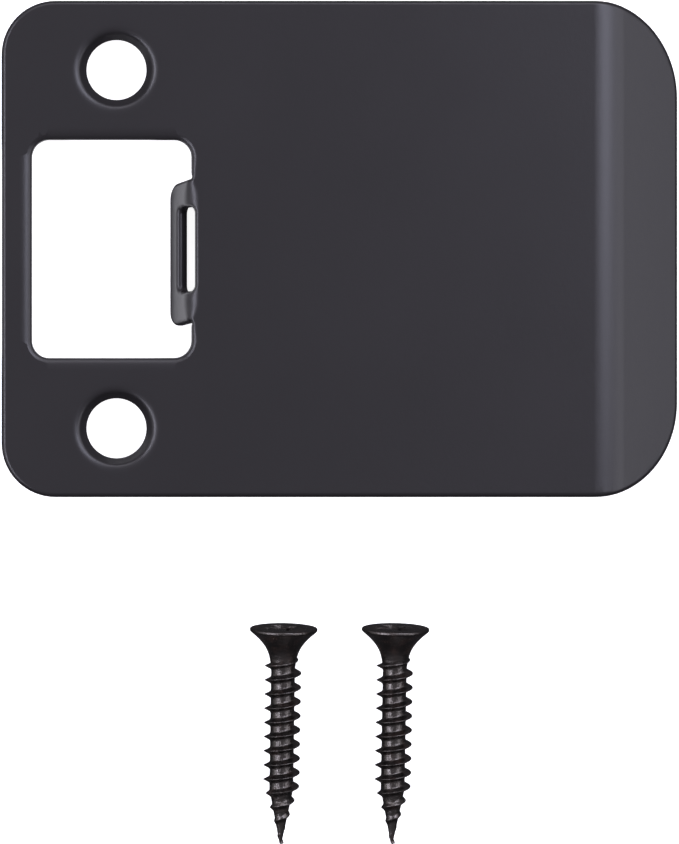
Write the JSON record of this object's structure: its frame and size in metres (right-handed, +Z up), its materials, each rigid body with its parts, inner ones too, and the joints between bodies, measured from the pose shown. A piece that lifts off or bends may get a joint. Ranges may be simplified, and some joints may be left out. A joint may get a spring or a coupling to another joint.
{
  "type": "door strike plate",
  "caption": "Full-lip strike plate for a door latch, with a slotted adjusting tang in its latch hole and countersunk wood screws laid beside it.",
  "frame": {"origin": "on the table, under the middle of the plate and screws as they lie", "axes": "+Z up out of the plate's front face; +X along the plate from its plain edge to its lip; +Y from the screws' points to the plate"},
  "size_m": [0.0782, 0.0974, 0.0078],
  "materials": {
    "plate_coating": "satin black powder coat on pressed steel",
    "screw_coating": "glossy black oxide and oil on steel"
  },
  "bodies": {
    "plate": {"strike_plate": "plate_coating"},
    "tang": {"adjusting_tang": "plate_coating"},
    "left_screw": {"screw_left": "screw_coating"},
    "right_screw": {"screw_right": "screw_coating"}
  },
  "joints": [
    {"name": "tang_bend", "type": "hinge", "parent": "plate", "child": "tang", "pos_m": [-0.01597, 0.02017, 0.00462], "axis": [0, 1, 0], "range_deg": [0, 20]},
    {"name": "screw_left_lift", "type": "slide", "parent": "plate", "child": "left_screw", "axis": [0, 0, 1], "range_m": [0, 0.03]},
    {"name": "screw_right_lift", "type": "slide", "parent": "plate", "child": "right_screw", "axis": [0, 0, 1], "range_m": [0, 0.03]}
  ]
}
